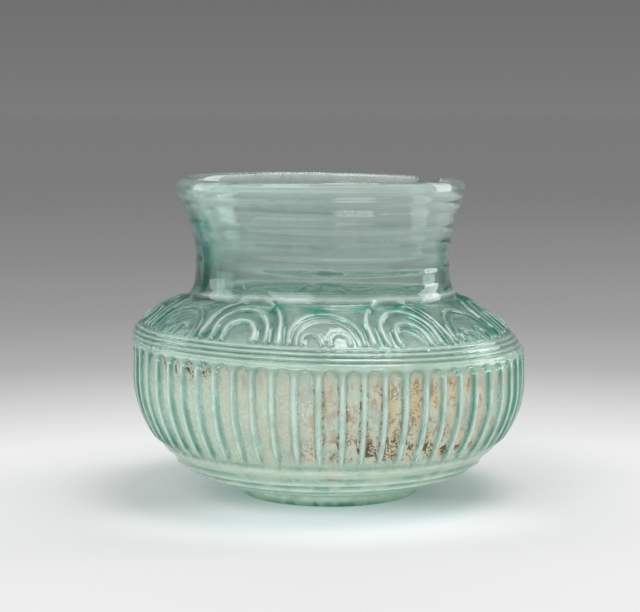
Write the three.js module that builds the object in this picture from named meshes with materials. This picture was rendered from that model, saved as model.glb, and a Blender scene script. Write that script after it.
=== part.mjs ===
// A squat glass cup: a flaring collar on a moulded shoulder, a belly of upright ribs and a low pad foot.
// Millimetres, +Z up. The origin is the middle of the face that the foot stands on.
// The wall is one skin of glass, divided here at the lines where its making changes, so every
// part of it is a closed solid that meets the next on a level, flat face.
import * as THREE from "three";

// Heights of the parts of the wall, each from the top of the one below.
const FOOT_HEIGHT = 2.6;
const UNDERSIDE_HEIGHT = 9.5;
const RIB_HEIGHT = 22.1;
const RIDGE_BAND_HEIGHT = 4.3;
const SHOULDER_HEIGHT = 8.1;
const NECK_HEIGHT = 6.6;
const COLLAR_HEIGHT = 16.6;
const LIP_HEIGHT = 2.7;

// Outside radii of the foot, of the widest belly between its ribs and of the narrowest neck.
const FOOT_RADIUS = 21.2;
const BELLY_RADIUS = 44.8;
const NECK_RADIUS = 29.4;

// How far the outline draws in from the belly, or opens out from the neck, at the lines between parts.
const RIB_FEET_INSET = 4.5;
const RIB_TOPS_INSET = 0.2;
const NECK_FOOT_FLARE = 1.4;
const COLLAR_FLARE = 4.0;
const UNDERSIDE_STEP = 0.6;

// Where the belly is widest, below the tops of the ribs.
const WIDEST_DROP = 6.7;

// Slopes of the outline from the level, in degrees: the underside where it leaves the foot, the belly
// at the feet and the tops of the ribs, the ridge band above them and the shoulder where it ends.
const UNDERSIDE_SLOPE = 6.5;
const RIB_FEET_SLOPE = 52;
const RIB_TOPS_SLOPE = 84;
const RIDGE_BAND_SLOPE = 70;
const SHOULDER_SLOPE = 25.5;

// Thickness of the glass, square to the outline.
const WALL_FLOOR = 3.0;
const WALL_BELLY = 2.2;
const WALL_SHOULDER = 2.1;
const WALL_NECK = 2.4;

// The fire-rounded lip swells this far past the collar on both faces.
const LIP_SWELL = 0.15;

// Ribs: how many, how wide at the root and how far they stand out. They taper to nothing at both ends.
const RIB_COUNT = 60;
const RIB_WIDTH = 1.9;
const RIB_RELIEF = 0.6;
const RIB_TAPER_TOP = 0.9;
const RIB_TAPER_FOOT = 2.2;

// Fine level ridges: those of the band above the ribs, and those of the underside, which begin
// this far below the feet of the ribs and take up this much height.
const BAND_RIDGES = 3;
const BAND_RIDGE_RELIEF = 0.4;
const UNDERSIDE_RIDGES = 2;
const UNDERSIDE_RIDGE_DROP = 3.4;
const UNDERSIDE_RIDGE_HEIGHT = 3.0;
const UNDERSIDE_RIDGE_RELIEF = 0.35;

// The rounded ring at the foot of the neck.
const NECK_RING_HEIGHT = 1.3;
const NECK_RING_RELIEF = 0.35;

// The pad foot: the rounding of its edge, and the shallow dish under it that leaves a ring to stand on.
const FOOT_EDGE = 0.9;
const FOOT_STANDING_WIDTH = 4.2;
const FOOT_DISH = 0.8;

// Blown by eye, the neck and collar sit to one side of the belly, and their bore sits to the other.
const COLLAR_LEAN = -1.4;
const BORE_OFFSET = 0.6;

// Points round one turn of the plain outside and of the inside.
const TURN_OUTSIDE = 60;
const TURN_INSIDE = 48;

// Rows of points up each stretch.
const UNDERSIDE_ROWS = 4;
const RIB_ROWS = 6;
const SHOULDER_ROWS = 5;
const NECK_ROWS = 2;
const COLLAR_ROWS = 4;
const LIP_ROWS = 8;

// Levels of the flat faces where the parts meet, from the standing face up.
const footTop = FOOT_HEIGHT;
const ribFeet = footTop + UNDERSIDE_HEIGHT;
const ribTops = ribFeet + RIB_HEIGHT;
const bandTop = ribTops + RIDGE_BAND_HEIGHT;
const neckFoot = bandTop + SHOULDER_HEIGHT;
const neckWaist = neckFoot + NECK_HEIGHT;
const lipFoot = neckWaist + COLLAR_HEIGHT;
const widest = ribTops - WIDEST_DROP;

// The outline's stations, as radius and height.
const atFoot = new THREE.Vector2(FOOT_RADIUS + UNDERSIDE_STEP, footTop);
const atRibFeet = new THREE.Vector2(BELLY_RADIUS - RIB_FEET_INSET, ribFeet);
const atWidest = new THREE.Vector2(BELLY_RADIUS, widest);
const atRibTops = new THREE.Vector2(BELLY_RADIUS - RIB_TOPS_INSET, ribTops);
const atNeckFoot = new THREE.Vector2(NECK_RADIUS + NECK_FOOT_FLARE, neckFoot);
const atNeckWaist = new THREE.Vector2(NECK_RADIUS, neckWaist);
const atLipFoot = new THREE.Vector2(NECK_RADIUS + COLLAR_FLARE, lipFoot);

// A direction in the section, from its angle to the level: 0 points outward and 90 straight up.
function heading(degrees) {
  const angle = THREE.MathUtils.degToRad(degrees);
  return new THREE.Vector2(Math.cos(angle), Math.sin(angle));
}

// One bow of the outline from start to end. It leaves start and reaches end along the two headings:
// its control point is where the two tangents cross.
function bow(start, startHeading, end, endHeading) {
  const across = end.clone().sub(start);
  const along = across.cross(endHeading) / startHeading.cross(endHeading);
  return new THREE.QuadraticBezierCurve(start, start.clone().addScaledVector(startHeading, along), end);
}

const underside = bow(atFoot, heading(UNDERSIDE_SLOPE), atRibFeet, heading(RIB_FEET_SLOPE));
const bellyBelow = bow(atRibFeet, heading(RIB_FEET_SLOPE), atWidest, heading(90));
const bellyAbove = bow(atWidest, heading(90), atRibTops, heading(180 - RIB_TOPS_SLOPE));
const shoulder = bow(atRibTops, heading(180 - RIDGE_BAND_SLOPE), atNeckFoot, heading(180 - SHOULDER_SLOPE));
const neck = new THREE.QuadraticBezierCurve(
  atNeckFoot,
  new THREE.Vector2(atNeckWaist.x, (atNeckFoot.y * 2 + atNeckWaist.y) / 3),
  atNeckWaist,
);
const collar = new THREE.QuadraticBezierCurve(
  atNeckWaist,
  new THREE.Vector2(atNeckWaist.x, (atNeckWaist.y + atLipFoot.y) / 2),
  atLipFoot,
);
const outline = [underside, bellyBelow, bellyAbove, shoulder, neck, collar];

// Thickness of the glass at a height, straight between the levels where it is stated.
function wallAt(height) {
  const stated = [
    [footTop, WALL_FLOOR],
    [ribFeet, WALL_BELLY],
    [ribTops, WALL_BELLY],
    [bandTop, WALL_SHOULDER],
    [neckWaist, WALL_NECK],
    [lipFoot, WALL_NECK],
  ];
  const next = stated.findIndex(([level]) => height <= level);
  if (next <= 0) {
    return next < 0 ? WALL_NECK : WALL_FLOOR;
  }
  const [low, thin] = stated[next - 1];
  const [high, thick] = stated[next];
  return THREE.MathUtils.mapLinear(height, low, high, thin, thick);
}

// A point of one curve of the outline, moved square to the curve: outward, or inward if negative.
function offsetPoint(curve, share, outward) {
  const tangent = curve.getTangent(share);
  const normal = new THREE.Vector2(tangent.y, -tangent.x);
  return curve.getPoint(share).addScaledVector(normal, outward);
}

// The inside of the wall: the outline moved inward by the thickness, as points from the floor up.
const INSIDE_STEPS = 24;
const inside = outline.flatMap((curve) =>
  Array.from({ length: INSIDE_STEPS + 1 }, (_, step) => {
    const share = step / INSIDE_STEPS;
    return offsetPoint(curve, share, -wallAt(curve.getPoint(share).y));
  }),
);
const floorTop = inside[0].y;

// Radius of the inside at a height, between the two points of the inside round it.
function insideRadius(height) {
  const next = inside.findIndex((point) => point.y >= height);
  if (next <= 0) {
    return next < 0 ? inside[inside.length - 1].x : inside[0].x;
  }
  const low = inside[next - 1];
  const high = inside[next];
  return THREE.MathUtils.mapLinear(height, low.y, high.y, low.x, high.x);
}

// How far along a rising curve a height is reached, from 0 to 1, found by halving.
function shareAt(curve, height) {
  let low = 0;
  let high = 1;
  for (let halving = 0; halving < 40; halving += 1) {
    const middle = (low + high) / 2;
    if (curve.getPoint(middle).y < height) {
      low = middle;
    } else {
      high = middle;
    }
  }
  return (low + high) / 2;
}

// Sideways places of the outside and of the bore at a height.
function leanAt(height) {
  return COLLAR_LEAN * THREE.MathUtils.smoothstep(height, ribTops, neckFoot);
}

function boreAt(height) {
  return leanAt(height) + BORE_OFFSET * THREE.MathUtils.smoothstep(height, ribTops, neckWaist);
}

// Even angles round one turn.
function turn(count) {
  return Array.from({ length: count }, (_, index) => (index / count) * Math.PI * 2);
}

// Angles round the ribs: at each its crest, the edge of its root, the middle of the panel beside it
// and the near edge of the next root.
const ribPitch = (Math.PI * 2) / RIB_COUNT;
const ribRoot = RIB_WIDTH / 2 / BELLY_RADIUS;
const ribMarks = [0, ribRoot, ribPitch / 2, ribPitch - ribRoot];
const ribTurn = turn(RIB_COUNT).flatMap((crest) => ribMarks.map((mark) => crest + mark));

// A ring of points at one height, round a centre that is off by shift along X.
function ring(angles, radii, height, shift) {
  const points = angles.map((angle, index) => {
    const radius = Array.isArray(radii) ? radii[index] : radii;
    return [shift + radius * Math.cos(angle), radius * Math.sin(angle), height];
  });
  return { angles, points };
}

function outsideRing(radius, height) {
  return ring(turn(TURN_OUTSIDE), radius, height, leanAt(height));
}

function insideRing(height) {
  return ring(turn(TURN_INSIDE), insideRadius(height), height, boreAt(height));
}

// Rings of the inside from one level down to another.
function insideRings(high, low, rows) {
  return Array.from({ length: rows + 1 }, (_, row) =>
    insideRing(THREE.MathUtils.lerp(high, low, row / rows)));
}

// Rings of a smooth stretch of the outside between two shares of one curve, both ends included.
function smoothRings(curve, from, to, rows) {
  return Array.from({ length: rows + 1 }, (_, row) => {
    const point = curve.getPoint(THREE.MathUtils.lerp(from, to, row / rows));
    return outsideRing(point.x, point.y);
  });
}

// Rings of a ridged stretch of the outside between two heights of one curve, without its first: each
// ridge has a ring at its crest and one in the valley above it.
function ridgedRings(curve, low, high, ridges, relief) {
  const step = (high - low) / ridges;
  return Array.from({ length: ridges }, (_, index) => {
    const crest = offsetPoint(curve, shareAt(curve, low + step * (index + 0.5)), relief);
    const valley = curve.getPoint(shareAt(curve, low + step * (index + 1)));
    return [outsideRing(crest.x, crest.y), outsideRing(valley.x, valley.y)];
  }).flat();
}

// A closed solid from rings in order: up the outside, across, and down the inside. With poles, the
// first and last ring close on a point on the axis; without them, the last ring joins the first.
function solid(rings, poles) {
  const positions = [];
  const starts = rings.map(({ points }) => positions.push(...points) - points.length);
  const faces = [];

  // Triangles between two rings that may have different counts: each step takes the nearer angle.
  function bridge(first, second) {
    const below = rings[first].angles;
    const above = rings[second].angles;
    let i = 0;
    let j = 0;
    while (i < below.length || j < above.length) {
      const nextBelow = i + 1 < below.length ? below[i + 1] : Math.PI * 2;
      const nextAbove = j + 1 < above.length ? above[j + 1] : Math.PI * 2;
      const a = starts[first] + (i % below.length);
      const b = starts[second] + (j % above.length);
      const stepBelow = j >= above.length || (i < below.length && nextBelow <= nextAbove);
      if (stepBelow) {
        i += 1;
        faces.push(a, starts[first] + (i % below.length), b);
      } else {
        j += 1;
        faces.push(a, starts[second] + (j % above.length), b);
      }
    }
  }

  for (let index = 0; index + 1 < rings.length; index += 1) {
    bridge(index, index + 1);
  }
  if (poles) {
    const [bottom, top] = poles;
    const bottomIndex = positions.push([0, 0, bottom]) - 1;
    const topIndex = positions.push([0, 0, top]) - 1;
    const firstCount = rings[0].points.length;
    const lastStart = starts[rings.length - 1];
    const lastCount = rings[rings.length - 1].points.length;
    for (let i = 0; i < firstCount; i += 1) {
      faces.push(bottomIndex, (i + 1) % firstCount, i);
    }
    for (let i = 0; i < lastCount; i += 1) {
      faces.push(lastStart + i, lastStart + ((i + 1) % lastCount), topIndex);
    }
  } else {
    bridge(rings.length - 1, 0);
  }

  const geometry = new THREE.BufferGeometry();
  geometry.setAttribute("position", new THREE.Float32BufferAttribute(positions.flat(), 3));
  geometry.setIndex(faces);
  geometry.computeVertexNormals();
  return geometry;
}

// The pad that the cup stands on: a low disc with a rounded edge and a shallow dish underneath.
function footPad() {
  const standingInner = FOOT_RADIUS - FOOT_STANDING_WIDTH;
  const standingOuter = FOOT_RADIUS - FOOT_EDGE;
  const dishRings = [0.4, 0.75].map((share) =>
    outsideRing(standingInner * share, FOOT_DISH * (1 - share ** 2)));
  const edgeRings = [30, 60, 90].map((degrees) => {
    const out = heading(degrees - 90).multiplyScalar(FOOT_EDGE);
    return outsideRing(standingOuter + out.x, FOOT_EDGE + out.y);
  });
  return solid(
    [
      ...dishRings,
      outsideRing(standingInner, 0),
      outsideRing(standingOuter, 0),
      ...edgeRings,
      outsideRing(FOOT_RADIUS, footTop),
    ],
    [FOOT_DISH, footTop],
  );
}

// The floor and the flaring underside, with fine ridges where it turns upward. Inside, the rows
// crowd towards the floor, where the wall is nearly level.
function undersideBowl() {
  const ridgesHigh = ribFeet - UNDERSIDE_RIDGE_DROP;
  const ridgesLow = ridgesHigh - UNDERSIDE_RIDGE_HEIGHT;
  const insideShares = [1, 0.6, 0.32, 0.14, 0.04, 0];
  return solid(
    [
      ...smoothRings(underside, 0, shareAt(underside, ridgesLow), UNDERSIDE_ROWS),
      ...ridgedRings(underside, ridgesLow, ridgesHigh, UNDERSIDE_RIDGES, UNDERSIDE_RIDGE_RELIEF),
      ...smoothRings(underside, shareAt(underside, ridgesHigh), 1, 2).slice(1),
      ...insideShares.map((share) => insideRing(THREE.MathUtils.lerp(floorTop, ribFeet, share))),
    ],
    [footTop, floorTop],
  );
}

// One ring round the ribs, standing out at the crests by a share of the full relief.
function ribRing(curve, share, relief) {
  const plain = curve.getPoint(share);
  const crest = offsetPoint(curve, share, relief);
  const radii = ribTurn.map((_, index) => (index % ribMarks.length === 0 ? crest.x : plain.x));
  return ring(ribTurn, radii, plain.y, leanAt(plain.y));
}

// The belly with its upright ribs, from the line of their feet to the line of their tops.
function ribbedBelly() {
  const footShare = shareAt(bellyBelow, ribFeet + RIB_TAPER_FOOT);
  const topShare = shareAt(bellyAbove, ribTops - RIB_TAPER_TOP);
  const lowerRows = RIB_ROWS - 2;
  const lower = Array.from({ length: lowerRows + 1 }, (_, row) =>
    ribRing(bellyBelow, THREE.MathUtils.lerp(footShare, 1, row / lowerRows), RIB_RELIEF));
  return solid([
    ribRing(bellyBelow, 0, 0),
    ...lower,
    ribRing(bellyAbove, topShare, RIB_RELIEF),
    ribRing(bellyAbove, 1, 0),
    ...insideRings(ribTops, ribFeet, RIB_ROWS),
  ]);
}

// The band of fine ridges that closes the ribs off above.
function ridgeBand() {
  return solid([
    outsideRing(atRibTops.x, ribTops),
    ...ridgedRings(shoulder, ribTops, bandTop, BAND_RIDGES, BAND_RIDGE_RELIEF),
    ...insideRings(bandTop, ribTops, 2),
  ]);
}

// The domed shoulder between the ridges and the neck.
function shoulderDome() {
  return solid([
    ...smoothRings(shoulder, shareAt(shoulder, bandTop), 1, SHOULDER_ROWS),
    ...insideRings(neckFoot, bandTop, SHOULDER_ROWS - 1),
  ]);
}

// The neck and its flaring collar, with a rounded ring at the foot.
function neckCollar() {
  const ringTop = neckFoot + NECK_RING_HEIGHT;
  return solid([
    outsideRing(atNeckFoot.x, neckFoot),
    ...ridgedRings(neck, neckFoot, ringTop, 1, NECK_RING_RELIEF),
    ...smoothRings(neck, shareAt(neck, ringTop), 1, NECK_ROWS).slice(1),
    ...smoothRings(collar, 0, 1, COLLAR_ROWS).slice(1),
    ...insideRings(lipFoot, neckFoot, NECK_ROWS + COLLAR_ROWS),
  ]);
}

// The fire-rounded lip: half an ellipse in section, standing on the top of the collar.
function rimLip() {
  const outer = atLipFoot.x;
  const inner = insideRadius(lipFoot);
  const middle = (outer + inner) / 2;
  const reach = (outer - inner) / 2 + LIP_SWELL;
  const springing = LIP_HEIGHT / 3;
  const crown = Array.from({ length: LIP_ROWS + 1 }, (_, row) => {
    const angle = (row / LIP_ROWS) * Math.PI;
    const radius = middle + reach * Math.cos(angle);
    const height = lipFoot + springing + (LIP_HEIGHT - springing) * Math.sin(angle);
    const shift = THREE.MathUtils.lerp(leanAt(height), boreAt(height), row / LIP_ROWS);
    return ring(turn(TURN_OUTSIDE), radius, height, shift);
  });
  return solid([outsideRing(outer, lipFoot), ...crown, insideRing(lipFoot)]);
}

// Blue-green glass, deeper in colour where it is thick. Each part has its own material.
function part(name, geometry, colour) {
  const material = new THREE.MeshStandardMaterial({ color: colour, roughness: 0.12, metalness: 0 });
  const mesh = new THREE.Mesh(geometry, material);
  mesh.name = name;
  return mesh;
}

const cup = new THREE.Group();
cup.add(
  part("foot_pad", footPad(), "#2f8f78"),
  part("underside_bowl", undersideBowl(), "#7fb7a2"),
  part("ribbed_belly", ribbedBelly(), "#b6d3c2"),
  part("ridge_band", ridgeBand(), "#a9cbbb"),
  part("shoulder_dome", shoulderDome(), "#9cc9b8"),
  part("neck_collar", neckCollar(), "#a7cdc4"),
  part("rim_lip", rimLip(), "#8fc0b2"),
);

export default cup;
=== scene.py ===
import math

import bpy
import numpy as np
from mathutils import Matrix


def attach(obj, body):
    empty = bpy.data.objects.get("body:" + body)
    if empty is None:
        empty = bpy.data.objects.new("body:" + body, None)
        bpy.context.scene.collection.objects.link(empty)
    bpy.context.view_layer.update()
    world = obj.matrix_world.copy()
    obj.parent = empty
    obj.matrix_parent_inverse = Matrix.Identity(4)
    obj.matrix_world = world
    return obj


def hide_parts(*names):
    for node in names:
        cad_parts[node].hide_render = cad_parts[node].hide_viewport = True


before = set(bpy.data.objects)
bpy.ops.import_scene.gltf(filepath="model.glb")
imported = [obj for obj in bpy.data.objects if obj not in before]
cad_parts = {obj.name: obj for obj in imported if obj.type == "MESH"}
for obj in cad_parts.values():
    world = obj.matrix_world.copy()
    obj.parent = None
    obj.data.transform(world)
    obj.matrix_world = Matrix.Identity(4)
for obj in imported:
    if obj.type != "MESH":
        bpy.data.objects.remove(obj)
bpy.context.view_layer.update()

# Camera.
# It stands 0.43 m in front of the cup, a little above the rim and a hair to the left, and looks slightly
# down. Its view is a long one, about 20 degrees wide.
scene = bpy.context.scene
scene.view_settings.view_transform = "Standard"

EYE = (-0.00195, -0.427, 0.08845)
EYE_DIP = math.radians(6.08)
SENSOR_WIDTH = 36.0
FOCAL_OVER_WIDTH = 2.8906
NEAREST_SEEN, FARTHEST_SEEN = 0.01, 200

camera_data = bpy.data.cameras.new("camera")
camera_data.sensor_width = SENSOR_WIDTH
camera_data.lens = SENSOR_WIDTH * FOCAL_OVER_WIDTH
camera_data.clip_start = NEAREST_SEEN
camera_data.clip_end = FARTHEST_SEEN
camera = bpy.data.objects.new("camera", camera_data)
camera.location = EYE
camera.rotation_euler = (math.pi / 2 - EYE_DIP, 0, 0)
scene.collection.objects.link(camera)
scene.camera = camera

# Light meets glass many times on its way through both walls of the cup, so it gets this many bounces.
scene.cycles.max_bounces = 20
scene.cycles.transmission_bounces = 18
scene.cycles.transparent_max_bounces = 24

# Floor.
# A wide sheet of pale paper under the cup, lit by the lamps, with a painted fall-off of light in its colour:
# pale round the cup and grey far behind.
# It is a flat disc in rings that widen outwards, and no part of the object.
FLOOR_REACH = 25.0
FLOOR_HUB, FLOOR_FIRST_RING = 0.03, 0.1
FLOOR_RINGS = 24
FLOOR_SPOKES = 96

# Painted fall-off of light: grey of the paper by distance from the middle of the pool of light: d / (d +
# half), so 0.5 is at half.
POOL_CENTRE = (0.0, -0.10, 0.0)
POOL_HALF = 0.4
PAINTED_FALLOFF_TONES = [
    (0.00, 0.67),
    (0.30, 0.71),
    (0.44, 0.37),
    (0.54, 0.285),
    (0.66, 0.265),
    (0.88, 0.315),
]

# A painted pool of light, a glow in the paper itself that stands for light thrown through the glass: an
# ellipse in front of the foot.
# Its scale turns metres into half-widths of the ellipse, its shift is in those, and the glow fades from the
# core to the edge.
PAINTED_POOL_SCALE = (27.0, 50.0, 1.0)
PAINTED_POOL_SHIFT = (0.0, 1.75, 0.0)
PAINTED_POOL_EDGE, PAINTED_POOL_CORE = 1.6, 0.1
PAINTED_POOL_STRENGTH = 0.32
PAINTED_POOL_COLOUR = (0.86, 1.0, 0.99, 1)


def add_node(tree, kind, inputs=None, **settings):
    """Adds a node, applies its settings, and gives each input, by name or number, a value or a link."""
    node = tree.nodes.new(kind)
    for name, value in settings.items():
        setattr(node, name, value)
    for name, value in (inputs or {}).items():
        if isinstance(value, bpy.types.NodeSocket):
            tree.links.new(value, node.inputs[name])
        else:
            node.inputs[name].default_value = value
    return node


def ramp_node(tree, factor, stops):
    """A ramp of greys from a list of places and greys, straight between them."""
    node = add_node(tree, "ShaderNodeValToRGB", {"Fac": factor})
    points = node.color_ramp.elements
    while len(points) < len(stops):
        points.new(0.5)
    for point, (at, grey) in zip(points, stops):
        point.position = at
        point.color = (grey, grey, grey, 1)
    return node.outputs["Color"]


turns = np.arange(FLOOR_SPOKES) / FLOOR_SPOKES * 2 * np.pi
reach = np.concatenate([[FLOOR_HUB], np.geomspace(FLOOR_FIRST_RING, FLOOR_REACH, FLOOR_RINGS)])
floor_x = np.outer(reach, np.cos(turns))
floor_y = np.outer(reach, np.sin(turns))
floor_points = np.stack([floor_x, floor_y, np.zeros_like(floor_x)], 2).reshape(-1, 3)
ring, spoke = np.meshgrid(np.arange(len(reach) - 1), np.arange(FLOOR_SPOKES), indexing="ij")
nearer = ring * FLOOR_SPOKES
farther = nearer + FLOOR_SPOKES
next_spoke = (spoke + 1) % FLOOR_SPOKES
floor_faces = np.stack([nearer + spoke, farther + spoke, farther + next_spoke, nearer + next_spoke], 2)
floor_hub = list(range(FLOOR_SPOKES))
floor_mesh = bpy.data.meshes.new("floor")
floor_mesh.from_pydata(floor_points.tolist(), [], floor_faces.reshape(-1, 4).tolist() + [floor_hub])
floor = bpy.data.objects.new("floor", floor_mesh)
scene.collection.objects.link(floor)

paper = bpy.data.materials.new("floor_paper")
paper.use_nodes = True
tree = paper.node_tree
tree.nodes.clear()
where = add_node(tree, "ShaderNodeTexCoord").outputs["Object"]
away = add_node(tree, "ShaderNodeVectorMath", {0: where, 1: POOL_CENTRE}, operation="DISTANCE")
away = away.outputs["Value"]
beyond = add_node(tree, "ShaderNodeMath", {0: away, 1: POOL_HALF}, operation="ADD").outputs[0]
far_share = add_node(tree, "ShaderNodeMath", {0: away, 1: beyond}, operation="DIVIDE").outputs[0]
# The paper's colour from this ramp is the painted fall-off of light.
paper_with_painted_falloff = add_node(tree, "ShaderNodeBsdfDiffuse", {"Color": ramp_node(tree, far_share, PAINTED_FALLOFF_TONES)})
painted_pool_place = {"Vector": where, "Location": PAINTED_POOL_SHIFT, "Scale": PAINTED_POOL_SCALE}
painted_pool_place = add_node(tree, "ShaderNodeMapping", painted_pool_place).outputs[0]
painted_pool_off = add_node(tree, "ShaderNodeVectorMath", {0: painted_pool_place}, operation="LENGTH")
# The painted pool of light: the paper glows here, though no lamp lights it.
painted_pool_amount = add_node(
    tree,
    "ShaderNodeMapRange",
    {0: painted_pool_off.outputs["Value"], 1: PAINTED_POOL_EDGE, 2: PAINTED_POOL_CORE, 3: 0.0, 4: PAINTED_POOL_STRENGTH},
    interpolation_type="SMOOTHSTEP",
)
painted_pool_glow = add_node(tree, "ShaderNodeEmission", {"Color": PAINTED_POOL_COLOUR, "Strength": painted_pool_amount.outputs[0]})
lit_paper = add_node(tree, "ShaderNodeAddShader", {0: paper_with_painted_falloff.outputs[0], 1: painted_pool_glow.outputs[0]})
add_node(tree, "ShaderNodeOutputMaterial", {"Surface": lit_paper.outputs[0]})
floor_mesh.materials.append(paper)

# Backdrop and lamps.
# A grey studio, darkest a little over the horizon and paler upward, and four soft lamps: a broad one in
# front at the left, one overhead and a tall one on each side.
ROOM_LIGHT = 0.62
ROOM_TONES = [(0.0, 0.20), (0.02, 0.185), (0.06, 0.16), (0.30, 0.20), (0.60, 0.42), (1.0, 0.70)]
WHITE = (1, 1, 1, 1)

# Each lamp's name, place, width and height in metres, and power in watts.
LAMPS = [
    ("lamp_front", (-0.55, -0.85, 0.95), 0.80, 0.60, 4.4),
    ("lamp_over", (0.24, -0.06, 1.00), 0.45, 0.45, 4.1),
    ("lamp_left", (-0.90, 0.30, 0.40), 0.40, 0.70, 1.5),
    ("lamp_right", (0.90, 0.40, 0.40), 0.40, 0.70, 3.0),
]
LAMPS_AIM = np.array([0.0, 0.0, 0.035])

room = bpy.data.worlds.new("room")
scene.world = room
room.use_nodes = True
tree = room.node_tree
tree.nodes.clear()
toward = add_node(tree, "ShaderNodeTexCoord").outputs["Generated"]
upward = add_node(tree, "ShaderNodeSeparateXYZ", {0: toward}).outputs["Z"]
seen_tone = ramp_node(tree, upward, ROOM_TONES)
seen_room = add_node(tree, "ShaderNodeBackground", {"Color": seen_tone, "Strength": 1.0})
lit_room = add_node(tree, "ShaderNodeBackground", {"Color": WHITE, "Strength": ROOM_LIGHT})
ray = add_node(tree, "ShaderNodeLightPath")
seen = ray.outputs["Is Camera Ray"]
for kind in ("Is Glossy Ray", "Is Transmission Ray"):
    seen = add_node(tree, "ShaderNodeMath", {0: seen, 1: ray.outputs[kind]}, operation="MAXIMUM").outputs[0]
both_rooms = add_node(tree, "ShaderNodeMixShader", {0: seen, 1: lit_room.outputs[0], 2: seen_room.outputs[0]})
add_node(tree, "ShaderNodeOutputWorld", {"Surface": both_rooms.outputs[0]})

for name, spot, wide, tall, power in LAMPS:
    lamp_data = bpy.data.lights.new(name, "AREA")
    lamp_data.shape = "RECTANGLE"
    lamp_data.size = wide
    lamp_data.size_y = tall
    lamp_data.energy = power
    lamp = bpy.data.objects.new(name, lamp_data)
    lamp.location = spot
    out = np.array(spot) - LAMPS_AIM
    tip = math.atan2(math.hypot(out[0], out[1]), out[2])
    lamp.rotation_euler = (tip, 0, math.atan2(out[1], out[0]) + math.pi / 2)
    scene.collection.objects.link(lamp)

# Blown wall and foot.
# One wall of blue-green glass, blown into a ribbed mould, its neck and collar drawn up by hand, with a pad of
# the same glass fused on as a foot. Here it is one closed skin, as in the real glass.
MM = 0.001

# Heights from the floor, in mm, and the outside's radius at each of them.
FOOT_TOP, RIB_FEET, WIDEST, RIB_TOPS = 2.6, 12.1, 27.5, 34.2
BAND_TOP, NECK_FOOT, NECK_WAIST, LIP_FOOT, TOP = 38.5, 46.6, 53.2, 69.8, 72.5
FOOT_RADIUS, BOWL_START, RIB_FEET_RADIUS, BELLY_RADIUS = 21.2, 21.8, 39.0, 44.8
RIB_TOPS_RADIUS, NECK_FOOT_RADIUS, NECK_RADIUS, LIP_RADIUS = 44.6, 30.8, 29.4, 33.4

# How steeply the outside runs there, in degrees from the level, and the heights that pull the neck's arcs.
BOWL_SLOPE, RIB_FEET_SLOPE, UPRIGHT, RIB_TOPS_SLOPE = 6.5, 52, 90, 96
SHOULDER_SLOPE, SHOULDER_END_SLOPE = 110, 154.5
NECK_RING_PULL, COLLAR_PULL = 48.8, 61.5

# Thickness of the glass, and the hollow under the foot with the ring that it stands on.
FLOOR_WALL, BELLY_WALL, SHOULDER_WALL, NECK_WALL, LIP_WALL = 3.0, 2.2, 2.1, 2.4, 1.7
FOOT_DISH, FOOT_STANDING, FOOT_ROUNDING = 0.8, 4.2, 0.9

# Rows up each stretch of the section, and columns round the cup: fine where the ribs and arches are.
BOWL_ROWS, RIB_FEET_ROWS, BELLY_ROWS, BAND_ROWS, DOME_ROWS, RING_ROWS, NECK_ROWS = 26, 18, 12, 17, 36, 6, 17
SHOULDER_STEPS = 400
LIP_ROWS, INSIDE_ROWS, INSIDE_CROWDING = 8, 40, 1.3
FLOOR_ROWS = (16.0, 10.0, 4.0)
FINE, COARSE = 720, 360


def arc(start, control, end, rows):
    """A parabola through start and end, pulled to control: (1-s)^2 start + 2s(1-s) control + s^2 end."""
    share = np.linspace(0, 1, rows + 1)[:, None]
    start, control, end = (np.array(point) for point in (start, control, end))
    return (1 - share) ** 2 * start + 2 * share * (1 - share) * control + share**2 * end


def heading(slope):
    """A step of length one at so many degrees from the level: (cos, sin)."""
    return np.array([math.cos(math.radians(slope)), math.sin(math.radians(slope))])


def bow(start, start_slope, end, end_slope, rows):
    """A parabolic arc of the section: its control point is where the tangents at both ends cross."""
    start, end = np.array(start), np.array(end)
    leave, arrive = heading(start_slope), heading(end_slope)
    across = end - start
    turn = (across[0] * arrive[1] - across[1] * arrive[0]) / (leave[0] * arrive[1] - leave[1] * arrive[0])
    return arc(start, start + leave * turn, end, rows)


def path_of(line):
    """Distance along a line at each of its points: the sum of the straight steps up to it."""
    return np.concatenate([[0], np.cumsum(np.hypot(*np.diff(line, axis=0).T))])


def walk(line, distances):
    """Points of a line at the given distances along it, straight between its own points."""
    path = path_of(line)
    return np.stack([np.interp(distances, path, line[:, 0]), np.interp(distances, path, line[:, 1])], 1)


def normals_of(line):
    """Unit normals of a section line, square to the line through each point's two neighbours."""
    tangent = np.gradient(line, axis=0)
    normal = np.stack([tangent[:, 1], -tangent[:, 0]], 1)
    return normal / np.hypot(*normal.T)[:, None]


def rise(low, high, value):
    """Smooth step: 0 below low, 1 above high, and 3s^2 - 2s^3 between. It falls where low is above high."""
    share = np.clip((value - low) / (high - low), 0, 1)
    return share * share * (3 - 2 * share)


def span(value, low, full, fading, gone):
    """A smooth step up from low to full, times one down from fading to gone."""
    return rise(low, full, value) * rise(gone, fading, value)


def hump(offset, width):
    """Bell curve: e^-(offset/width)^2."""
    return np.exp(-((offset / width) ** 2))


def stretch_at(front, height, turn, heights):
    """A bell curve round the cup, from its middle and half-width in degrees, times a span of the height."""
    return hump(front - turn[0], turn[1]) * span(height, *heights)


def spot_at(front, height, turn, level):
    """A bell curve round the cup times one of the height, each from its middle and half-width."""
    return hump(front - turn[0], turn[1]) * hump(height - level[0], level[1])


def lines_at(height, lines):
    """Level lines round the cup: the sum, over each (place, amount, width), of amount times a bell curve
    of the height."""
    return sum(amount * hump(height - place, width) for place, amount, width in lines)


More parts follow.
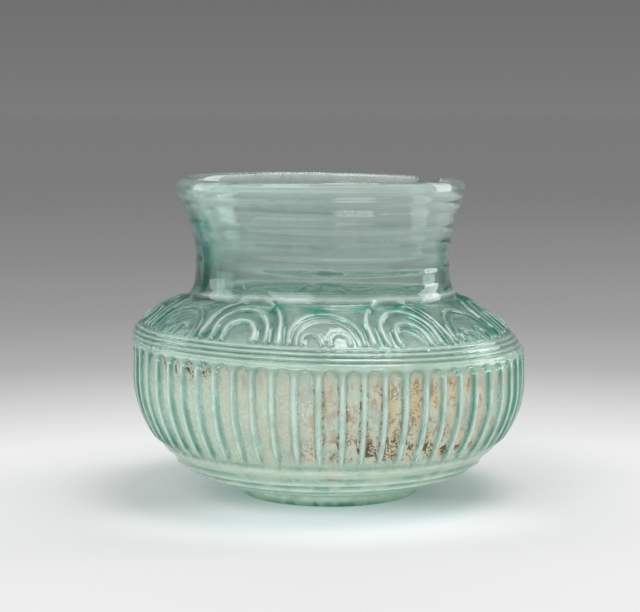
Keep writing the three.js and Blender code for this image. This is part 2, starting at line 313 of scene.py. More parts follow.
# Outside: the radius and height of each row, out from the middle of the foot's underside, then up to the lip.
standing_edge = FOOT_RADIUS - FOOT_ROUNDING
dish_edge = standing_edge - FOOT_STANDING
foot_rows = [
    (6.0, FOOT_DISH),
    (12.0, FOOT_DISH),
    (dish_edge - 0.8, FOOT_DISH * 0.8),
    (dish_edge, 0.05),
    (standing_edge - 2.0, 0.0),
    (standing_edge, 0.0),
    (FOOT_RADIUS - 0.25, 0.3),
    (FOOT_RADIUS, 0.9),
    (FOOT_RADIUS + 0.1, 1.7),
    (FOOT_RADIUS + 0.3, 2.3),
]
rib_tops = (RIB_TOPS_RADIUS, RIB_TOPS)
neck_foot = (NECK_FOOT_RADIUS, NECK_FOOT)
shoulder = bow(rib_tops, SHOULDER_SLOPE, neck_foot, SHOULDER_END_SLOPE, SHOULDER_STEPS)
shoulder_path = path_of(shoulder)
band_end = np.interp(BAND_TOP, shoulder[:, 1], shoulder_path)
stretches = [
    bow((BOWL_START, FOOT_TOP), BOWL_SLOPE, (RIB_FEET_RADIUS, RIB_FEET), RIB_FEET_SLOPE, BOWL_ROWS),
    bow((RIB_FEET_RADIUS, RIB_FEET), RIB_FEET_SLOPE, (BELLY_RADIUS, WIDEST), UPRIGHT, RIB_FEET_ROWS),
    bow((BELLY_RADIUS, WIDEST), UPRIGHT, rib_tops, RIB_TOPS_SLOPE, BELLY_ROWS),
    walk(shoulder, np.linspace(0, band_end, BAND_ROWS + 1)),
    walk(shoulder, np.linspace(band_end, shoulder_path[-1], DOME_ROWS + 1)),
    arc(neck_foot, (NECK_RADIUS, NECK_RING_PULL), (NECK_RADIUS, NECK_WAIST), RING_ROWS),
    arc((NECK_RADIUS, NECK_WAIST), (NECK_RADIUS, COLLAR_PULL), (LIP_RADIUS, LIP_FOOT), NECK_ROWS),
]
wall = np.concatenate([stretches[0]] + [stretch[1:] for stretch in stretches[1:]])
outside = np.concatenate([foot_rows, wall])
outside_normals = normals_of(outside)
columns = np.full(len(outside), COARSE)
first_fine = len(foot_rows) + len(stretches[0])
last_fine = first_fine + sum(len(stretch) - 1 for stretch in stretches[1:5]) - 1
columns[first_fine:last_fine] = FINE

# Inside: the outside moved in by the thickness of the wall, from under the lip down to the floor of the cup.
thickness = np.interp(
    wall[:, 1],
    [FOOT_TOP, RIB_FEET, RIB_TOPS, BAND_TOP, NECK_WAIST, LIP_FOOT],
    [FLOOR_WALL, BELLY_WALL, BELLY_WALL, SHOULDER_WALL, NECK_WALL, LIP_WALL],
)
inner_line = wall - normals_of(wall) * thickness[:, None]
inner_length = path_of(inner_line)[-1]
inside = walk(inner_line, inner_length * (1 - np.linspace(0, 1, INSIDE_ROWS) ** INSIDE_CROWDING))
floor_height = inside[-1, 1]
inside = np.concatenate([inside, [(radius, floor_height) for radius in FLOOR_ROWS]])

# Lip: a half ellipse from the outside to the inside of the wall.
lip_inner, lip_inner_height = inside[0]
lip_turn = np.linspace(0, np.pi, LIP_ROWS + 2)[1:-1]
lip_half = (LIP_RADIUS - lip_inner) / 2
lip_radii = (LIP_RADIUS + lip_inner) / 2 + lip_half * np.cos(lip_turn)
lip_heights = LIP_FOOT + (TOP - LIP_FOOT) * np.sin(lip_turn)
lip_heights += (lip_inner_height - LIP_FOOT) * np.linspace(0, 0.5, LIP_ROWS)

# Ribs: how many, half their width up the belly and at their feet, how far their crests stand out and how
# far below the crests the panels lie.
RIBS = 60
RIB_HALF, RIB_FOOT_HALF = 0.62, 0.10
RIB_CREST, PANEL_DEPTH = 0.80, 0.98

# Heights between which the ribs come out and widen, and of the panels' heads. Then, in from a panel's edge,
# where its slope, the painted shade on the flank and the painted highlight on the crest lie, and how far up
# the crests' painted highlight fades, and by how much.
RIBS_SHOW, RIBS_WIDEN, PANEL_HEADS = (11.7, 14.8), (11.5, 16.5), RIB_TOPS - 0.2
PANEL_EDGE, FLANK_IN, FLANK_WIDTH, CREST_HIGHLIGHT_EDGE = (-0.15, 0.60), 0.22, 0.24, (-0.05, -0.40)
CREST_HIGHLIGHT_FADES, CREST_HIGHLIGHT_FADED = (32.0, 33.6), 0.7

# Arches: seven of each kind, spread a little apart near the front. ARCH_RADIUS turns degrees into mm. Each
# line is its height, the half-width of its arch, how far up its round begins, and its own width.
ARCH_TURN = 360 / 7
ARCH_SPREAD = 3.1
ARCH_RADIUS = 43.0
WIDE_ARCH = [(0.45, 7.9, 2.0, 0.45), (0.25, 6.6, 1.2, 0.32)]
SMALL_ARCH = (0.44, 2.0, 1.6, 0.36)
SMALL_ARCH_SIDE = 3.0
NESTED_ARCHES = [(0.60, 3.7, 2.8, 0.62), (0.60, 6.5, 4.0, 0.62), (0.60, 9.4, 5.4, 0.62)]
LEGS_START = (-0.4, 0.6)
ARCHES_UP = (0.0, 0.8, 13.8, 15.6)

# Short upright strokes beside the wide arch and in its middle: height, distance to the side, half-width,
# distance up and half-length. Then the widths and the strength of the painted shade, in dark teal, along the
# arches' feet.
STROKES = ((0.40, 9.6, 0.55, 1.8, 1.5), (0.4, 0.0, 0.45, 2.0, 0.9))
FEET_BROAD, FEET_NARROW, FEET_STRENGTH = 2.1, 1.1, 3.0

# Level lines, each a height, an amount and a width: raised in mm, then painted shade in dark teal, then
# painted highlights on the crests.
BOWL_RIDGES = (6.3, 8.1)
BAND_CRESTS = (34.9, 35.95, 37.0, 37.95)
RAISED_LINES = [(place, 0.42, 0.29) for place in BAND_CRESTS] + [(place, 0.45, 0.45) for place in BOWL_RIDGES]
RAISED_LINES += [(11.2, 0.45, 0.35), (47.3, 0.45, 0.42), (46.1, -0.25, 0.35)]
SHADE_LINES = [(5.3, 0.8, 0.40), (7.2, 0.8, 0.40), (9.0, 0.8, 0.40)]
SHADE_LINES += [(35.45, 0.375, 0.20), (36.5, 0.75, 0.20), (37.5, 0.375, 0.20)]
SHADE_LINES += [(12.3, 0.55, 0.35), (45.9, 0.75, 0.35)]
HIGHLIGHT_LINES = [(place, 0.6, 0.20) for place in BAND_CRESTS] + [(place, 0.7, 0.40) for place in BOWL_RIDGES]
HIGHLIGHT_LINES += [(11.2, 0.6, 0.35), (47.3, 0.8, 0.3)]

# The groove under the ribs' feet, how far past the ribs their relief reaches, the band's own rise, how
# steeply the ribs' tops fall to it, where it ends on the shoulder, and how the painted highlight comes on the
# arches' crests.
RIB_FEET_GROOVE, GROOVE_DEPTH, GROOVE_HALF, GROOVE_FROM = 12.0, 0.22, 0.45, 11
BELOW_RIBS, ABOVE_RIBS = 0.5, 0.3
BAND_RISE, BAND_FALL, BAND_ENDS = 0.15, 1.4, (1.5, 0.0)
ARCH_HIGHLIGHT, ARCH_HIGHLIGHT_FROM, ARCH_HIGHLIGHT_MOST = 1.5, 0.2, 0.8

# Painted shade, dark teal patches under the ring of the neck: middle and half-width in degrees, then up the
# shoulder in mm.
SHADE_PATCHES = ((-46, 4), (-20.5, 5), (-2, 6), (15, 4), (37, 5), (96, 8), (150, 7), (-120, 8), (-165, 6))
SHADE_PATCHES_UP = (11.3, 2.0)

# Where else painted shade in dark teal goes, and the foot's painted highlight: middle and half-width in
# degrees, then a middle and half-height, or the heights where it starts, is full, begins to fade and is gone.
RIB_FEET_SHADE_AT = ((-50, 25), (12.3, 0.35))
NECK_LEFT_SHADE_AT = ((-66, 17), (46.5, 48.5, 63, 69))
NECK_RIGHT_SHADE_AT = ((68, 7), (47, 50, 58, 63))
BORE_LEFT_SHADE_AT = ((-80, 10), (50, 56, 64, 69))
FOOT_SHADE_AT, FOOT_HIGHLIGHT_AT = (-2, 38), (-20, 60)

# How strong the painted shade is on these, and on the feet of the arches, the patches and the dome's sides,
# where it darkens the shoulder to the left and right. The ribs' flanks get the least painted shade near the
# front.
RIB_FEET_SHADE, NECK_RIGHT_SHADE, BORE_LEFT_SHADE = 0.4, 0.75, 0.6
ARCH_FEET_SHADE, PATCHES_SHADE, DOME_SIDES_SHADE = 0.80, 0.95, 0.34
DOME_SIDES, DOME_TOP = (22, 58), (15.5, 14.0)
FLANKS_LEAST, FLANKS_MORE, FLANKS_MIDDLE, FLANKS_TURN = 0.30, 0.70, -4, (14, 38)

# Places for the weathering, given in the same way.
TAN_PANELS = ((27, 38), (13, 15, 31, 34))
PLAIN_BAND_TAN = (20, 50)
DOME_FILM = ((0, 32), (38, 40, 45, 46.5))
SOIL_STREAKS = ((8, 18), (13, 15, 30, 33))
SOIL_TOPS = ((-44, 18), (28, 31.5, 33.6, 34.6))
SOIL_FEET = ((20, 26), (16.2, 2.4))
SOIL_ON_BAND = ((1, 4), (9.6, 0.8))
SOIL_IN_COLLAR = ((160, 12), (66, 2.5))

# How much each of them carries, and the heights where the plain band ends and the neck's film begins.
FILM_ON_PANELS, FILM_ON_BAND, FILM_ON_NECK, FILM_ON_DOME = 0.54, 0.72, 0.14, 0.22
TAN_ON_PANELS, TAN_ON_BAND = 1.35, 0.25
SOIL_ALL_OVER, SOIL_WITH_TAN, SOIL_IN_STREAKS, SOIL_LINE = 0.20, 0.40, 4.5, 0.9
PLAIN_BAND_ENDS, NECK_FILM_FROM = (12.4, 11.0), (48, 52)


def arch_line(side, up, radius, start, width):
    """A raised line shaped as an arch, upright legs of half-width radius and a half circle above start: a
    bell curve of the distance to it, times a smooth step up the foot of the legs."""
    out = np.where(up > start, np.hypot(side, up - start), np.abs(side))
    return hump(out - radius, width) * rise(*LEGS_START, up)


def shoulder_relief(front, up):
    """Two kinds of arch in turn round the shoulder. front is degrees from the front, up is the path from
    the ridges in mm. The first kind is a wide arch over two small ones, the second is three arches nested.
    Gives the relief, the sum of the arches' lines, and the painted shade along their feet: a wider
    line less a narrower one."""
    even = front - ARCH_SPREAD * np.sin(np.radians(front))
    scale = math.pi / 180 * ARCH_RADIUS
    wide = ((even + ARCH_TURN / 2) % ARCH_TURN - ARCH_TURN / 2) * scale
    nest = (even % ARCH_TURN - ARCH_TURN / 2) * scale
    small = [(wide - SMALL_ARCH_SIDE, SMALL_ARCH), (wide + SMALL_ARCH_SIDE, SMALL_ARCH)]
    lines = [(wide, line) for line in WIDE_ARCH] + small + [(nest, line) for line in NESTED_ARCHES]
    relief, feet_shade = 0, 0
    for side, (tall, radius, start, width) in lines:
        relief = relief + tall * arch_line(side, up, radius, start, width)
        broad = arch_line(side, up, radius, start, width * FEET_BROAD)
        feet_shade = feet_shade + tall * (broad - arch_line(side, up, radius, start, width * FEET_NARROW))
    for tall, beside, width, middle, length in STROKES:
        relief = relief + tall * hump(np.abs(wide) - beside, width) * hump(up - middle, length)
    fade = span(up, *ARCHES_UP)
    return relief * fade, np.clip(feet_shade * FEET_STRENGTH, 0, 1) * fade


def rib_relief(turn_share, height, radius):
    """Ribs round the belly. Each panel between two ribs is a tongue: upright sides and a half-round top.
    Its floor lies below the crests, and the ribs run out to points at the bottom. Gives the panel's share,
    the relief, the painted shade along the rib's flanks and the painted highlight on the crest."""
    pitch = 2 * np.pi * radius / RIBS
    side = ((turn_share * RIBS + 0.5) % 1 - 0.5) * pitch
    half = pitch / 2 - (RIB_FOOT_HALF + (RIB_HALF - RIB_FOOT_HALF) * rise(*RIBS_WIDEN, height))
    head = PANEL_HEADS - half
    inward = np.where(height > head, half - np.hypot(side, height - head), half - np.abs(side))
    panel = rise(*PANEL_EDGE, inward)
    shown = rise(*RIBS_SHOW, height)
    flank_shade = hump(inward - FLANK_IN, FLANK_WIDTH) * shown
    crest_highlight = rise(*CREST_HIGHLIGHT_EDGE, inward) * shown * (1 - CREST_HIGHLIGHT_FADED * rise(*CREST_HIGHLIGHT_FADES, height))
    return panel, shown * (RIB_CREST - PANEL_DEPTH * panel), flank_shade, crest_highlight


def outside_relief(front, turn_share, height, radius, up):
    """All that stands above or below the plain outline of the outside, in mm along its normal, with the
    masks that its material reads: panels, painted shade in dark teal and painted highlights. Each is the sum
    of what the ribs, the level lines and the arches give there."""
    panel, ribs, flank_shade, crest_highlight = rib_relief(turn_share, height, radius)
    arches, feet_shade = shoulder_relief(front, up)
    on_belly = (height >= RIB_FEET - BELOW_RIBS) & (height <= RIB_TOPS + ABOVE_RIBS)
    on_dome = height > BAND_TOP
    relief = np.where(on_belly, ribs, 0)
    falling = np.maximum(BAND_RISE, RIB_CREST - (height - RIB_TOPS) * BAND_FALL)
    relief = np.where(height > RIB_TOPS, falling, relief)
    relief = np.where(on_dome, BAND_RISE * rise(*BAND_ENDS, up) + arches, relief)
    relief += lines_at(height, RAISED_LINES)
    relief -= GROOVE_DEPTH * hump(height - RIB_FEET_GROOVE, GROOVE_HALF) * (height > GROOVE_FROM)

    # Painted shade in dark teal: flanks of the ribs, feet of the arches, patches, the shoulder's sides and
    # the neck's edges.
    sideways = FLANKS_LEAST + FLANKS_MORE * rise(*FLANKS_TURN, np.abs(front - FLANKS_MIDDLE))
    shade_patches = sum(spot_at(front, up, turn, SHADE_PATCHES_UP) for turn in SHADE_PATCHES)
    on_dome_shade = ARCH_FEET_SHADE * feet_shade + PATCHES_SHADE * shade_patches
    on_dome_shade += DOME_SIDES_SHADE * rise(*DOME_SIDES, np.abs(front)) * rise(*DOME_TOP, up)
    painted_shade = flank_shade * on_belly * sideways + np.where(on_dome, on_dome_shade, 0) + lines_at(height, SHADE_LINES)
    painted_shade += RIB_FEET_SHADE * spot_at(front, height, *RIB_FEET_SHADE_AT)
    neck_edges = stretch_at(front, height, *NECK_LEFT_SHADE_AT)
    painted_shade += neck_edges + NECK_RIGHT_SHADE * stretch_at(front, height, *NECK_RIGHT_SHADE_AT)

    # Painted highlights: the ribs' crests, the level lines and the arches' crests.
    painted_highlight = crest_highlight * on_belly + lines_at(height, HIGHLIGHT_LINES)
    painted_highlight += np.where(on_dome, np.clip(ARCH_HIGHLIGHT * arches - ARCH_HIGHLIGHT_FROM, 0, ARCH_HIGHLIGHT_MOST), 0)
    return panel * on_belly, relief, np.clip(painted_shade, 0, 1), np.clip(painted_highlight, 0, 1)


# Tool bands on the neck, three waves: height, spacing and start, then how far each sways up and down in mm,
# how many times round the neck, and from where. Then their strength, how much it varies, and their reach.
TOOL_WAVES = [
    (0.19, 2.9, 0.0, 0.5, 1, 0.6),
    (0.11, 1.9, 1.1, 0.35, 2, 2.0),
    (0.09, 4.7, 0.4, -0.8, 1, -1.4),
]
TOOL_STRENGTH, TOOL_VARIES, TOOL_VARIES_ROUND, TOOL_VARIES_UP = 0.65, 0.35, 1.5, 0.11
TOOLED = (48.5, 52.0, 69.5, 71.6)


def tooling(front, height):
    """Level bands left by the tool on the neck and collar: a sum of sines of the height, each swaying with a
    slow sine of the turn, times a strength that varies as a sine of turn and height does. That one goes
    one and a half times round, so the bands miss each other by a little at the very back."""
    drift = np.radians(front)
    bands = 0
    for tall, spacing, start, sway, times, shift in TOOL_WAVES:
        swayed = height + sway * np.sin(times * drift + shift)
        bands = bands + tall * np.sin(swayed * 2 * np.pi / spacing + start)
    patch = TOOL_STRENGTH + TOOL_VARIES * np.sin(TOOL_VARIES_ROUND * drift + height * TOOL_VARIES_UP)
    return bands * patch * span(height, *TOOLED)


# How far the made shape strays from a true one: the lean of the neck and the rim to the left and of the bore
# to the right, the slopes of the ridges and the rim, the heights where the rim leans and warps, and at the
# left a bulge of the shoulder and a drop of the neck's ring.
NECK_LEAN, RIM_LEAN, BORE_LEAN = 1.4, 0.4, 0.55
RIDGE_TILT, RIM_TILT = 0.024, 0.0135
RIM_LEANS = (56, 64)
RIM_WARP, RIM_WARPS, RIM_WARP_START = 0.22, (62, TOP), 1.0
LEFT_SIDE, LEFT_HALF = -90, 50
LEFT_BULGE, LEFT_BULGE_HEIGHT, LEFT_BULGE_HALF = 1.4, 37.3, 2.3
LEFT_DROP, LEFT_DROP_HEIGHT, LEFT_DROP_HALF = 1.5, 47.0, 3.0

# Waves in the radius: share of it, how many times round, and where each starts.
ROUND_WAVES = ((0.0035, 2, 0.8), (0.0025, 3, 2.1))


def settle(radius, height, front, bore):
    """Places points round the axis, x = r sin(front) and y = -r cos(front), with r in slow waves. Then
    leans the neck and the rim, tilts the ridges, warps the rim, and at the left bulges the shoulder and drops
    the neck's ring, each by its amount times smooth steps or bell curves. bore is 0 on the outside and 1 on
    the inside."""
    angle = np.radians(front)
    neck = rise(RIB_TOPS, NECK_FOOT, height)
    wave = sum((part * np.sin(times * angle + start) for part, times, start in ROUND_WAVES), 1)
    x = radius * wave * np.sin(angle) - NECK_LEAN * neck
    x = x + bore * BORE_LEAN * rise(RIB_TOPS, NECK_WAIST, height)
    y = -radius * wave * np.cos(angle)
    tilt = RIDGE_TILT * rise(FOOT_TOP, RIB_TOPS, height) - RIM_TILT * rise(BAND_TOP, LIP_FOOT, height)
    z = height - x * tilt + RIM_WARP * np.sin(2 * angle + RIM_WARP_START) * rise(*RIM_WARPS, height)
    left = hump(front - LEFT_SIDE, LEFT_HALF)
    x = x - LEFT_BULGE * left * hump(height - LEFT_BULGE_HEIGHT, LEFT_BULGE_HALF)
    x = x - RIM_LEAN * rise(*RIM_LEANS, height)
    z = z - LEFT_DROP * left * hump(height - LEFT_DROP_HEIGHT, LEFT_DROP_HALF)
    return x, y, z


# The chip: degrees from the front to its middle, from there to its end and to where it is full, its depth
# in mm and the heights that it comes in between. Then two waves of its broken edge: share of the depth, rate.
CHIP_FRONT, CHIP_HALF, CHIP_FULL, CHIP_DEPTH = 127.0, 8.0, 6.2, 1.25
CHIP_UP = (70.6, 71.6)
COARSE_BREAK, FINE_BREAK = (0.30, 0.55), (0.15, 0.9)


def chip(front, height, wave):
    """A bite out of the lip at the back right: how far each point drops, as a smooth step to the sides and
    one up, times a depth with a coarse and a fine sine along the break."""
    off = np.abs(front - CHIP_FRONT)
    broken = 1.0 + COARSE_BREAK[0] * np.sin(front * COARSE_BREAK[1])
    broken = broken + FINE_BREAK[0] * np.sin(front * FINE_BREAK[1] + wave)
    return rise(CHIP_HALF, CHIP_FULL, off) * rise(*CHIP_UP, height) * CHIP_DEPTH * broken


def weathering(front, height, panel):
    """Film, tan and soil on the outside: each is a sum over the panels, the plain band under them and the
    places above, of how much it carries there times the place's bell curves and smooth steps."""
    plain_band = rise(*PLAIN_BAND_ENDS, height)
    right = stretch_at(front, height, *TAN_PANELS)
    film = FILM_ON_PANELS * panel + FILM_ON_BAND * plain_band + FILM_ON_NECK * rise(*NECK_FILM_FROM, height)
    film = film + FILM_ON_DOME * stretch_at(front, height, *DOME_FILM)
    tan = TAN_ON_PANELS * panel * right
    tan = tan + TAN_ON_BAND * plain_band * hump(front - PLAIN_BAND_TAN[0], PLAIN_BAND_TAN[1])
    soil = SOIL_ALL_OVER + SOIL_WITH_TAN * right + spot_at(front, height, *SOIL_FEET)
    soil = soil + stretch_at(front, height, *SOIL_TOPS)
    soil = soil + SOIL_IN_STREAKS * (1 - panel) * stretch_at(front, height, *SOIL_STREAKS)
    return film, tan, panel * soil + SOIL_LINE * spot_at(front, height, *SOIL_ON_BAND)


# Rows of points, with five masks for the material: milky film, tan weathering, soil, painted shade in dark
# teal, painted highlights.
MASKS = ("film", "tan", "soil", "painted_shade", "painted_highlight")
rows = []
masks = []


def lay_row(place, *values):
    """Adds one row round the cup, x, y and z, and the values of its five masks."""
    rows.append(np.stack(place, 1))
    masks.append(np.stack([np.broadcast_to(value, len(rows[-1])) for value in values]))


def fronts(count):
    """Degrees from the front, plus to the right, of so many even columns."""
    return (np.arange(count) / count * 360 + 180) % 360 - 180


# The ribs and arches sway a little to the sides on their way round: degrees, times round, and start.
SWAYS = ((0.35, 7, 30), (0.25, 13, 70))

# Foot: how far its side wavers in mm, its film, and the heights between which it gets painted shade in teal
# and a painted highlight, with the highlight's amount.
FOOT_WAVER, FOOT_FILM, FOOT_FILM_FROM = 0.25, 0.15, 0.6
FOOT_SHADE_UP, FOOT_HIGHLIGHT_UP, FOOT_HIGHLIGHT_AMOUNT = (1.5, 0.7), (1.0, 1.7), 0.6

# Lip: how much film, painted highlight and soil, the turn of the soil, and the painted shade at the chip.
LIP_FILM, LIP_HIGHLIGHT, LIP_SOIL, LIP_SOIL_TURN, CHIP_SHADE = 0.08, 0.20, 0.25, (160, 30), 0.9

# Inside: how far it follows the ribs and the tool bands, which are turned and raised from those outside, the
# heights of its belly, dome and neck, and how much film, tan, soil, painted shade and painted highlight they
# carry.
FOLLOW_RIBS, FOLLOW_UP, FOLLOW_BANDS = 0.15, (12, 16, 31, 34), 0.5
BANDS_TURN, BANDS_UP, BANDS_CLEAR = 40, 1.1, 4
BELLY_INSIDE, DOME_INSIDE, NECK_INSIDE = (6.0, 10.0, 33.0, 37.0), (34, 37, 43, 48), (46, 52)
INSIDE_FILM, BELLY_FILM, UNDER_DOME_FILM, NECK_FILM_LESS = 0.12, 0.34, 0.10, 0.08
BELLY_TAN, BELLY_TAN_FRONT, BELLY_TAN_TURN = 0.25, 0.55, (15, 60)
BELLY_SOIL, COLLAR_SOIL = 0.10, 0.55
BANDS_SHADE, BANDS_SHADE_FROM, BANDS_HIGHLIGHT, BANDS_HIGHLIGHT_FROM = 0.55, (50, 56), 0.75, (55, 63)

up_path = path_of(outside)
up_path -= np.interp(BAND_TOP, wall[:, 1], up_path[len(foot_rows) :])
for index, (radius, height) in enumerate(outside):
    turn_share = np.arange(columns[index]) / columns[index]
    even = fronts(columns[index])
    front = sum((part * np.sin(np.radians(even * times + start)) for part, times, start in SWAYS), even)
    heights = np.full_like(front, height)
    panel, relief, painted_shade, painted_highlight = outside_relief(front, turn_share, heights, radius, up_path[index])
    relief = relief + tooling(front, height)
    film, tan, soil = weathering(front, height, panel)
    if index < len(foot_rows):
        relief = FOOT_WAVER * np.sin(np.radians(front) * 2 + 1) * (radius > standing_edge)
        film = film + FOOT_FILM * (height > FOOT_FILM_FROM)
        # Painted shade in teal low on the foot at the front, and a painted highlight on its side.
        painted_shade = painted_shade + hump(front - FOOT_SHADE_AT[0], FOOT_SHADE_AT[1]) * rise(*FOOT_SHADE_UP, height)
        painted_shade = np.clip(painted_shade, 0, 1)
        foot_highlight = FOOT_HIGHLIGHT_AMOUNT * hump(front - FOOT_HIGHLIGHT_AT[0], FOOT_HIGHLIGHT_AT[1]) * rise(*FOOT_HIGHLIGHT_UP, height)
        painted_highlight = np.clip(painted_highlight + foot_highlight, 0, 1)
    normal = outside_normals[index]
    place = settle(radius + normal[0] * relief, height + normal[1] * relief, front, 0)
    lay_row(place, film, tan, soil, painted_shade, painted_highlight)

front = fronts(COARSE)
for radius, height in zip(lip_radii, lip_heights):
    heights = np.full(COARSE, height)
    x, y, z = settle(np.full(COARSE, radius), heights, front, (LIP_RADIUS - radius) / (2 * lip_half))
    soil = LIP_SOIL * hump(np.abs(front) - LIP_SOIL_TURN[0], LIP_SOIL_TURN[1])
    # Painted shade at the chip, and a painted highlight all round the lip.
    painted_shade = CHIP_SHADE * hump(front - CHIP_FRONT, CHIP_HALF)
    lay_row((x, y, z - chip(front, height, radius)), LIP_FILM, 0.0, soil, painted_shade, LIP_HIGHLIGHT)

for radius, height in inside:
    heights = np.full(COARSE, height)
    follow = FOLLOW_RIBS * np.cos(np.radians(front * RIBS) + np.pi) * span(height, *FOLLOW_UP)
    bands = tooling(front + BANDS_TURN, height + BANDS_UP)
    belly = span(height, *BELLY_INSIDE)
    film = INSIDE_FILM + BELLY_FILM * belly + UNDER_DOME_FILM * span(height, *DOME_INSIDE)
    film = film - NECK_FILM_LESS * rise(*NECK_INSIDE, height)
    tan = belly * (BELLY_TAN + BELLY_TAN_FRONT * hump(front - BELLY_TAN_TURN[0], BELLY_TAN_TURN[1]))
    soil = BELLY_SOIL * belly + COLLAR_SOIL * spot_at(front, height, *SOIL_IN_COLLAR)
    # Painted shade in the tool bands' troughs and down the bore's left, and painted highlights on the bands'
    # crests.
    painted_shade = BANDS_SHADE * np.clip(-BANDS_CLEAR * bands, 0, 1) * rise(*BANDS_SHADE_FROM, height)
    painted_shade = painted_shade + BORE_LEFT_SHADE * stretch_at(front, height, *BORE_LEFT_SHADE_AT)
    painted_highlight = BANDS_HIGHLIGHT * np.clip(BANDS_CLEAR * bands, 0, 1) * rise(*BANDS_HIGHLIGHT_FROM, height)
    lay_row(settle(radius + follow + FOLLOW_BANDS * bands, heights, front, 1), film, tan, soil, painted_shade, painted_highlight)

# Faces: quads between rows of the same count, three triangles a step where a fine row meets a coarse one,
# and a fan round the pole under the foot and the one on the floor of the cup.
starts = np.concatenate([[0], np.cumsum([len(row) for row in rows])])
faces = []


def add_faces(*corners):
    """Adds one face for each step of the given columns of point numbers."""
    faces.extend(np.stack(np.broadcast_arrays(*corners), 1).tolist())


for lower in range(len(rows) - 1):
    here, above = len(rows[lower]), len(rows[lower + 1])
    a, b = starts[lower], starts[lower + 1]
    step = np.arange(min(here, above))
    ahead = (step + 1) % len(step)
    middle = 2 * step + 1
    after = (2 * step + 2) % max(here, above)
    if here == above:
        add_faces(a + step, a + ahead, b + ahead, b + step)
    elif here < above:
        add_faces(a + step, b + middle, b + 2 * step)
        add_faces(a + step, a + ahead, b + middle)
        add_faces(a + ahead, b + after, b + middle)
    else:
        add_faces(a + 2 * step, a + middle, b + step)
        add_faces(a + middle, b + ahead, b + step)
        add_faces(a + middle, a + after, b + ahead)
under_pole, floor_pole = starts[-1], starts[-1] + 1
last = starts[-2]
step = np.arange(COARSE)
ahead = (step + 1) % COARSE
add_faces(under_pole, ahead, step)
add_faces(last + step, last + ahead, floor_pole)
poles = np.array([[0, 0, FOOT_DISH], [0, 0, floor_height]])

glass_mesh = bpy.data.meshes.new("glass_vessel")
glass_mesh.from_pydata((np.concatenate(rows + [poles]) * MM).tolist(), [], faces)
glass_mesh.polygons.foreach_set("use_smooth", np.ones(len(glass_mesh.polygons), dtype=bool))
for name, values in zip(MASKS, np.concatenate(masks + [np.zeros((len(MASKS), len(poles)))], 1)):
    layer = glass_mesh.attributes.new(name, "FLOAT", "POINT")
    layer.data.foreach_set("value", values.astype(np.float32))
glass_mesh.update()
glass = bpy.data.objects.new("glass_vessel", glass_mesh)
scene.collection.objects.link(glass)

# Its glass: clear blue-green, with a milky film, tan weathering in the panels and grains of soil.
# GLASS_TAKEN is how fast it takes light away, to the metre, and GLASS_KEPT is the colour that it spares.
GLASS_TAKEN = 70.0
GLASS_KEPT = (0.0, 0.75, 0.58, 1)
GLASS_BEND = 1.5
CLEAR = (0.97, 1.0, 0.99, 1)
CREAM = (0.98, 1.0, 0.80, 1)
TAN = (0.72, 0.60, 0.37, 1)
BROWN = (0.13, 0.075, 0.03, 1)
# Painted shade is dark teal, and painted highlight is pale mint.
PAINTED_SHADE_TEAL = (0.005, 0.30, 0.23, 1)
PAINTED_HIGHLIGHT_PALE = (0.88, 1.0, 0.95, 1)
FILM_VEIL, TAN_VEIL, HIGHLIGHT_VEIL = 0.55, 0.72, 0.62
CLEAR_DULLNESS, VEIL_DULLNESS = 0.015, 0.24

# Clouds of noise: patches to the metre, detail, and what reads 0 and what reads 1. Those drawn up are longer
# up the cup than across. Then the least film, painted shade and painted highlight that a mask leaves between
# its clouds, and the faint ripple of the surface.
FILM_CLOUD, TAN_CLOUD = (170, 4, 0.30, 0.70), (300, 6, 0.36, 0.68)
SPECKS, SPECK_PATCHES, STAINS = (2300, 2, 0.50, 0.56), (330, 3, 0.42, 0.52), (800, 5, 0.56, 0.61)
SHADE_CLOUD, HIGHLIGHT_CLOUD = (210, 4, 0.44, 0.56), (240, 3, 0.35, 0.65)
DRAWN_UP = (1.0, 1.0, 0.35)
FILM_LEAST, SHADE_LEAST, HIGHLIGHT_LEAST, STAIN_STRENGTH = 0.45, 0.40, 0.5, 0.9
RIPPLES, RIPPLE_DETAIL, RIPPLE_STRENGTH, RIPPLE_HEIGHT = 420.0, 3.0, 0.05, 0.0004

# Lamps light the paper and the far wall through this plain tint: a shadow ray can't bend through glass.
LAMP_PASS = (0.755, 0.755, 0.75, 1)

blown = bpy.data.materials.new("blue_green_glass")
blown.use_nodes = True
tree = blown.node_tree
tree.nodes.clear()
where = add_node(tree, "ShaderNodeTexCoord").outputs["Object"]
drawn_up = add_node(tree, "ShaderNodeMapping", {"Vector": where, "Scale": DRAWN_UP}).outputs[0]


def attribute(name):
    """The value of one of the mesh's own masks."""
    return add_node(tree, "ShaderNodeAttribute", attribute_name=name).outputs["Fac"]


def cloud(where, scale, detail, low, high):
    """Noise of so many patches to the metre, spread so that low reads 0 and high reads 1."""
    noise = add_node(tree, "ShaderNodeTexNoise", {"Vector": where, "Scale": scale, "Detail": detail})
    return add_node(tree, "ShaderNodeMapRange", {0: noise.outputs["Fac"], 1: low, 2: high}).outputs[0]


def maths(operation, first, second):
    """The operation on two values, held between 0 and 1."""
    node = add_node(tree, "ShaderNodeMath", {0: first, 1: second}, operation=operation, use_clamp=True)
    return node.outputs[0]


def blend(amount, first, second):
    """A colour between two: the mix node's amount and its two colours are its inputs 0, 6 and 7."""
    return add_node(tree, "ShaderNodeMix", {0: amount, 6: first, 7: second}, data_type="RGBA").outputs[2]


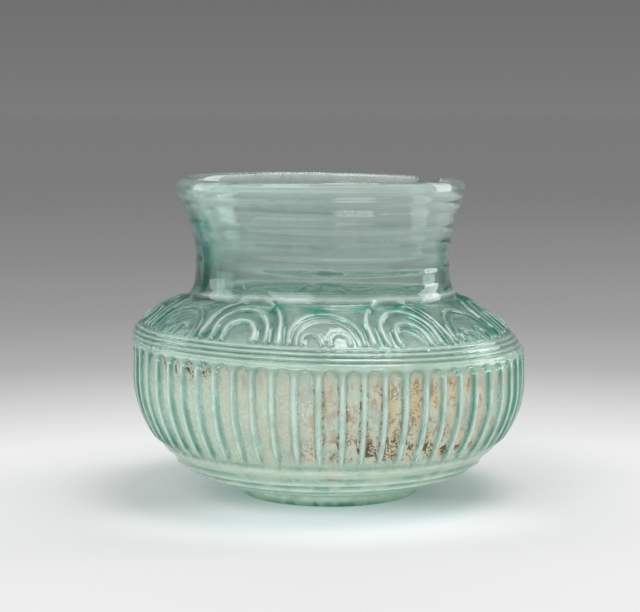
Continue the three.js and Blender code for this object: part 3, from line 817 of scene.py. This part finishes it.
film_amount = maths("MULTIPLY", attribute("film"), maths("ADD", FILM_LEAST, cloud(where, *FILM_CLOUD)))
tan_amount = maths("MULTIPLY", attribute("tan"), cloud(drawn_up, *TAN_CLOUD))
specks = maths("MULTIPLY", cloud(where, *SPECKS), cloud(where, *SPECK_PATCHES))
stains = maths("MULTIPLY", cloud(drawn_up, *STAINS), STAIN_STRENGTH)
soil_amount = maths("MULTIPLY", attribute("soil"), maths("ADD", specks, stains))
# Masks of the painted shade and of the painted highlights.
painted_shade_amount = maths("MULTIPLY", attribute("painted_shade"), maths("ADD", SHADE_LEAST, cloud(drawn_up, *SHADE_CLOUD)))
painted_highlight_amount = maths("MULTIPLY", attribute("painted_highlight"), maths("ADD", HIGHLIGHT_LEAST, cloud(where, *HIGHLIGHT_CLOUD)))

# Film, tan and soil are weathering; the pale mix is painted highlight and the teal mix is painted shade.
colour = blend(film_amount, CLEAR, CREAM)
colour = blend(tan_amount, colour, TAN)
colour = blend(painted_highlight_amount, colour, PAINTED_HIGHLIGHT_PALE)
colour = blend(painted_shade_amount, colour, PAINTED_SHADE_TEAL)
colour = blend(soil_amount, colour, BROWN)

# The veil is what hides the depth of the glass; the painted highlights are part of it. It also dulls the
# surface.
weathering_and_highlight_veil = maths("ADD", maths("MULTIPLY", film_amount, FILM_VEIL), maths("MULTIPLY", tan_amount, TAN_VEIL))
weathering_and_highlight_veil = maths("ADD", weathering_and_highlight_veil, maths("MULTIPLY", painted_highlight_amount, HIGHLIGHT_VEIL))
weathering_and_highlight_veil = maths("ADD", weathering_and_highlight_veil, soil_amount)
through = maths("SUBTRACT", 1.0, weathering_and_highlight_veil)
dullness = maths("ADD", CLEAR_DULLNESS, maths("MULTIPLY", weathering_and_highlight_veil, VEIL_DULLNESS))
ripple = add_node(tree, "ShaderNodeTexNoise", {"Vector": where, "Scale": RIPPLES, "Detail": RIPPLE_DETAIL})
ripple = {"Strength": RIPPLE_STRENGTH, "Distance": RIPPLE_HEIGHT, "Height": ripple.outputs["Fac"]}
waver = add_node(tree, "ShaderNodeBump", ripple)
body = add_node(
    tree,
    "ShaderNodeBsdfPrincipled",
    {
        "Base Color": colour,
        "Roughness": dullness,
        "IOR": GLASS_BEND,
        "Transmission Weight": through,
        "Normal": waver.outputs["Normal"],
    },
)
lamp_side = add_node(tree, "ShaderNodeBsdfTransparent", {"Color": LAMP_PASS})
ray = add_node(tree, "ShaderNodeLightPath")
lamp_ray = maths("MAXIMUM", ray.outputs["Is Shadow Ray"], ray.outputs["Is Diffuse Ray"])
surface = add_node(tree, "ShaderNodeMixShader", {0: lamp_ray, 1: body.outputs[0], 2: lamp_side.outputs[0]})
depth = add_node(tree, "ShaderNodeVolumeAbsorption", {"Color": GLASS_KEPT, "Density": GLASS_TAKEN})
add_node(tree, "ShaderNodeOutputMaterial", {"Surface": surface.outputs[0], "Volume": depth.outputs[0]})
glass_mesh.materials.append(blown)

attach(glass, "root")
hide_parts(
    "foot_pad",
    "underside_bowl",
    "ribbed_belly",
    "ridge_band",
    "shoulder_dome",
    "neck_collar",
    "rim_lip",
)
